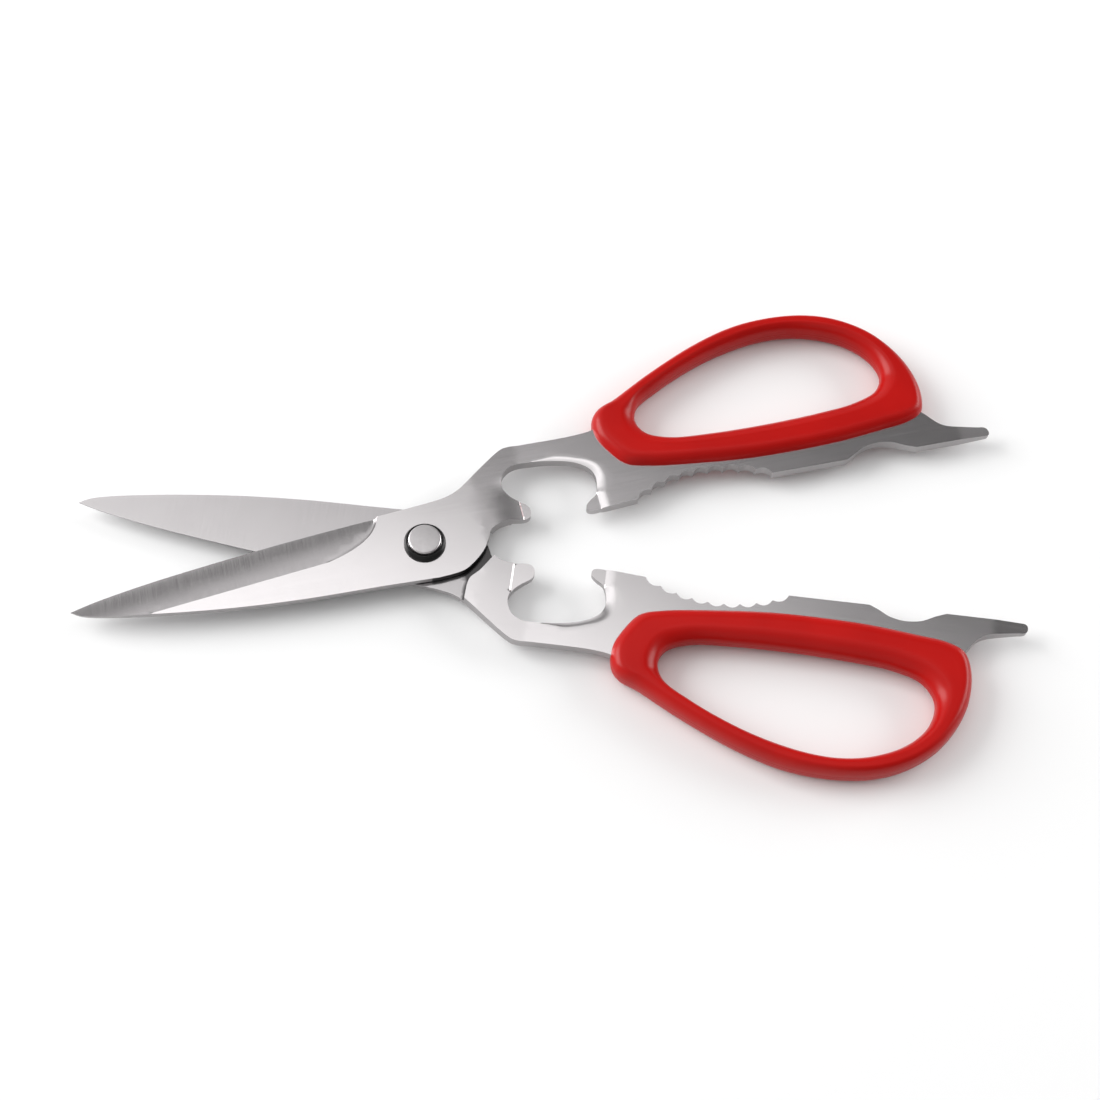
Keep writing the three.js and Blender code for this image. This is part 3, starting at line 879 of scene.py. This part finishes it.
class Shader:
    """A principled material under construction. Nodes are made by type, inputs are values or sockets."""

    def __init__(self, name, metallic, roughness, **uniform):
        self.material = bpy.data.materials.new(name)
        self.material.use_nodes = True
        self.tree = self.material.node_tree
        self.surface = self.tree.nodes["Principled BSDF"]
        self.surface.inputs["Metallic"].default_value = metallic
        self.surface.inputs["Roughness"].default_value = roughness
        for socket, value in uniform.items():
            self.surface.inputs[socket.replace("_", " ")].default_value = value

    def fill(self, socket, value):
        if isinstance(value, bpy.types.NodeSocket):
            self.tree.links.new(value, socket)
        else:
            socket.default_value = value

    def attribute(self, name, output="Fac"):
        node = self.tree.nodes.new("ShaderNodeAttribute")
        node.attribute_name = name
        return node.outputs[output]

    def stretched(self, vector, scale):
        node = self.tree.nodes.new("ShaderNodeVectorMath")
        node.operation = "MULTIPLY"
        self.fill(node.inputs[0], vector)
        node.inputs[1].default_value = scale
        return node.outputs["Vector"]

    def noise(self, vector, scale, detail, roughness):
        node = self.tree.nodes.new("ShaderNodeTexNoise")
        self.fill(node.inputs["Vector"], vector)
        node.inputs["Scale"].default_value = scale
        node.inputs["Detail"].default_value = detail
        node.inputs["Roughness"].default_value = roughness
        return node.outputs["Fac"]

    def math(self, operation, a, b):
        node = self.tree.nodes.new("ShaderNodeMath")
        node.operation = operation
        self.fill(node.inputs[0], a)
        self.fill(node.inputs[1], b)
        return node.outputs[0]

    def span(self, value, low, high, to_low, to_high):
        """The value moved from the range low to high to the other range, and held within it."""
        node = self.tree.nodes.new("ShaderNodeMapRange")
        for socket, given in zip(node.inputs[:5], (value, low, high, to_low, to_high)):
            self.fill(socket, given)
        return node.outputs["Result"]

    def mix(self, share, a, b):
        node = self.tree.nodes.new("ShaderNodeMix")
        node.data_type = "RGBA"
        self.fill(node.inputs[0], share)
        self.fill(node.inputs[6], a)
        self.fill(node.inputs[7], b)
        return node.outputs[2]

    def bump(self, height, strength, distance):
        node = self.tree.nodes.new("ShaderNodeBump")
        node.inputs["Strength"].default_value = strength
        node.inputs["Distance"].default_value = distance
        self.fill(node.inputs["Height"], height)
        return node.outputs["Normal"]

    def finish(self, color, roughness, normal):
        self.fill(self.surface.inputs["Base Color"], color)
        self.fill(self.surface.inputs["Roughness"], roughness)
        self.fill(self.surface.inputs["Normal"], normal)
        return self.material


def grey(value):
    """The faintly warm grey of stainless steel."""
    return (value, value * 0.96, value * 0.97, 1)


def brushed_steel(name, way, shades, roughness, brushing, painted_shade_from):
    """Satin stainless. way stretches the brushing, and shades are its darkest and lightest reflectance.

    The attribute that the last argument names darkens it with painted shade.
    """
    s = Shader(name, 1.0, roughness)
    spot = s.attribute("spot", "Vector")
    grain = s.noise(s.stretched(spot, way), 1.0, 5.0, 0.6)
    clouds = s.noise(spot, 0.09, 2.0, 0.5)
    specks = s.noise(spot, 2.2, 3.0, 0.7)
    color = s.mix(s.span(grain, 0.3, 0.7, 0.0, 1.0), grey(shades[0]), grey(shades[1]))
    color = s.mix(s.span(clouds, 0.35, 0.65, 0.0, 0.2), color, grey(shades[0] * 0.92))
    # a little lighter towards the outline
    color = s.mix(s.math("MULTIPLY", s.attribute("edge"), 0.1), color, grey(0.8))
    # painted shade: the named attribute darkens the colour towards near black
    color = s.mix(s.math("MULTIPLY", s.attribute(painted_shade_from), 0.9), color, grey(0.03))
    rough = s.span(grain, 0.3, 0.7, roughness - 0.02, roughness + 0.02)
    rough = s.math("ADD", rough, s.span(specks, 0.3, 0.7, -0.01, 0.01))
    normal = s.bump(s.math("ADD", grain, s.math("MULTIPLY", specks, 0.1)), brushing, 0.00002)
    return s.finish(color, rough, normal)


LENGTHWISE, CROSSWISE = (0.05, 6.0, 1.0), (6.0, 0.05, 1.0)  # how the brushing's noise is stretched


def turned_steel():
    """Satin stainless with the faint rings that turning leaves."""
    s = Shader("turned_stainless", 1.0, 0.3)
    spot = s.attribute("spot", "Vector")
    node = s.tree.nodes.new("ShaderNodeVectorMath")
    node.operation = "LENGTH"
    s.fill(node.inputs[0], s.stretched(spot, (1, 1, 0)))
    radius = node.outputs["Value"]
    combine = s.tree.nodes.new("ShaderNodeCombineXYZ")
    s.fill(combine.inputs[0], radius)
    rings = s.noise(combine.outputs[0], 7.0, 4.0, 0.7)
    clouds = s.noise(spot, 0.8, 3.0, 0.6)
    color = s.mix(rings, grey(0.5), grey(0.62))
    color = s.mix(s.span(clouds, 0.3, 0.7, 0.0, 0.3), color, grey(0.45))
    rough = s.span(clouds, 0.3, 0.7, 0.3, 0.42)
    return s.finish(color, rough, s.bump(rings, 0.12, 0.00003))


def moulded_plastic(name, deep, light, roughness, grain_height):
    """Moulded plastic: a soft drift of colour, a fine eroded grain and faint flow marks."""
    s = Shader(name, 0.0, roughness, Specular_IOR_Level=0.22)
    spot = s.attribute("spot", "Vector")
    drift = s.noise(spot, 0.06, 2.0, 0.5)
    grain = s.noise(spot, 5.5, 4.0, 0.7)
    flow = s.noise(s.stretched(spot, (0.04, 0.25, 0.25)), 1.0, 2.0, 0.5)
    scuffs = s.span(s.noise(s.stretched(spot, (0.3, 1.6, 1.0)), 1.2, 6.0, 0.75), 0.62, 0.75, 0.0, 1.0)
    color = s.mix(s.span(drift, 0.3, 0.7, 0.0, 1.0), deep, light)
    rough = s.span(grain, 0.25, 0.75, roughness - 0.04, roughness + 0.05)
    rough = s.math("ADD", rough, s.math("MULTIPLY", scuffs, 0.06))
    height = s.math("ADD", s.math("MULTIPLY", grain, 0.5), s.math("MULTIPLY", flow, 0.8))
    return s.finish(color, rough, s.bump(height, grain_height, 0.00004))


# ---------------------------------------------------------------- the studio

GRADIENT = (0.403, 0.915)  # the dome's level changes towards this compass direction
DOME_LEVELS = [
    (-1.2, 0.4), (-0.45, 0.3), (-0.12, 0.5), (0.12, 0.55), (0.3, 0.75), (0.37, 1.0), (0.465, 1.0),
    (0.495, 0.6), (0.525, 0.13), (0.6, 0.115), (0.68, 0.085), (0.75, 0.14), (0.87, 0.45), (1.25, 0.6),
    (1.7, 0.55),
]
DOME_STRENGTH = 1.8
EAST_LEANS, EAST_SHARES = (0.1, 0.3), (1.0, 0.33)  # at these leans to the east, these shares of the level
LOWEST_Z = 0.05  # directions nearer the horizon count as if they were this high
TABLE_HALF, TABLE_Z = 4, -0.0001  # metres, just under the shears


def table():
    """A plain pale floor."""
    mesh = bpy.data.meshes.new("table_top")
    corners = [(x * TABLE_HALF, y * TABLE_HALF, TABLE_Z) for x, y in ((-1, -1), (1, -1), (1, 1), (-1, 1))]
    mesh.from_pydata(corners, [], [(0, 1, 2, 3)])
    floor = bpy.data.objects.new("table_top", mesh)
    bpy.context.scene.collection.objects.link(floor)
    paint = bpy.data.materials.new("pale_floor")
    paint.use_nodes = True
    surface = paint.node_tree.nodes["Principled BSDF"]
    surface.inputs["Base Color"].default_value = (0.86, 0.86, 0.86, 1)
    surface.inputs["Roughness"].default_value = 0.8
    surface.inputs["Specular IOR Level"].default_value = 0.1
    mesh.materials.append(paint)


def softbox(name, place, size, watts):
    """A rectangular light that faces the pivot."""
    data = bpy.data.lights.new(name, "AREA")
    data.shape = "RECTANGLE"
    data.size, data.size_y = size
    data.energy = watts
    lamp = bpy.data.objects.new(name, data)
    bpy.context.scene.collection.objects.link(lamp)
    lamp.location = place
    lamp.rotation_euler = (-Vector(place)).to_track_quat("-Z", "Y").to_euler()


def surroundings():
    """A studio dome, whose level depends on how far a direction leans from the zenith towards GRADIENT.

    The lean is a tangent. The dome is brightest a little to the north of overhead, dark beyond that,
    brighter again low in the north and dimmer to the south. A lean to the east dims it further.
    """
    world = bpy.data.worlds.new("studio")
    world.use_nodes = True
    bpy.context.scene.world = world
    tree = world.node_tree

    def fill(socket, value):
        if isinstance(value, bpy.types.NodeSocket):
            tree.links.new(value, socket)
        else:
            socket.default_value = value

    def math_node(operation, a, b):
        node = tree.nodes.new("ShaderNodeMath")
        node.operation = operation
        fill(node.inputs[0], a)
        fill(node.inputs[1], b)
        return node.outputs[0]

    split = tree.nodes.new("ShaderNodeSeparateXYZ")
    fill(split.inputs[0], tree.nodes.new("ShaderNodeTexCoord").outputs["Generated"])
    x, y, z = split.outputs
    height = math_node("MAXIMUM", z, LOWEST_Z)
    to_east = math_node("MULTIPLY", x, GRADIENT[0])
    to_north = math_node("MULTIPLY", y, GRADIENT[1])
    lean = math_node("DIVIDE", math_node("ADD", to_east, to_north), height)
    low, high = DOME_LEVELS[0][0], DOME_LEVELS[-1][0]
    place = math_node("DIVIDE", math_node("SUBTRACT", lean, low), high - low)
    ramp = tree.nodes.new("ShaderNodeValToRGB")
    while len(ramp.color_ramp.elements) < len(DOME_LEVELS):
        ramp.color_ramp.elements.new(0.5)
    for element, (at, level) in zip(ramp.color_ramp.elements, DOME_LEVELS):
        element.position = (at - low) / (high - low)
        element.color = (level, level, level, 1)
    fill(ramp.inputs["Fac"], place)
    east = tree.nodes.new("ShaderNodeMapRange")
    fill(east.inputs["Value"], math_node("DIVIDE", x, height))
    for socket, value in zip(east.inputs[1:5], (*EAST_LEANS, *EAST_SHARES)):
        fill(socket, value)
    background = tree.nodes["Background"]
    fill(background.inputs["Color"], ramp.outputs["Color"])
    fill(background.inputs["Strength"], math_node("MULTIPLY", east.outputs["Result"], DOME_STRENGTH))


def lighting():
    surroundings()
    softbox("left_softbox", (-1.0, 0.35, 0.55), (0.9, 0.9), 16)
    softbox("right_softbox", (1.1, 0.35, 0.4), (0.9, 0.6), 9.6)


def camera():
    """The product shot's camera, close above the table on the -y side."""
    data = bpy.data.cameras.new("camera")
    data.sensor_width = 36  # millimetres, as is the lens
    data.lens = 58.98
    view = bpy.data.objects.new("camera", data)
    bpy.context.scene.collection.objects.link(view)
    view.location = (0.00043, -0.1813, 0.3474)
    view.rotation_euler = (math.radians(27.7), math.radians(-2.64), math.radians(-3.37))
    bpy.context.scene.camera = view


# ---------------------------------------------------------------- the scene

steels = [
    # each finish's last argument names the attribute whose painted shade darkens it
    brushed_steel("brushed_stainless", LENGTHWISE, (0.67, 0.7), 0.2, 0.015, "painted_shade"),
    brushed_steel("ground_stainless", CROSSWISE, (0.53, 0.59), 0.2, 0.03, "painted_shade"),
    brushed_steel("lapped_stainless", CROSSWISE, (0.47, 0.53), 0.22, 0.04, "painted_shade"),
    brushed_steel("sheared_stainless", CROSSWISE, (0.36, 0.42), 0.42, 0.05, "nose"),
]
turned_stainless = turned_steel()
red = moulded_plastic("red_plastic", (0.37, 0.0018, 0.0008, 1), (0.43, 0.003, 0.0015, 1), 0.3, 0.1)
black = moulded_plastic("black_plastic", (0.004, 0.004, 0.004, 1), (0.008, 0.008, 0.008, 1), 0.4, 0.15)

steel_halves(steels)
grips(red)
pivot(turned_stainless, black)

table()
lighting()
camera()
bpy.context.scene.view_settings.view_transform = "Standard"
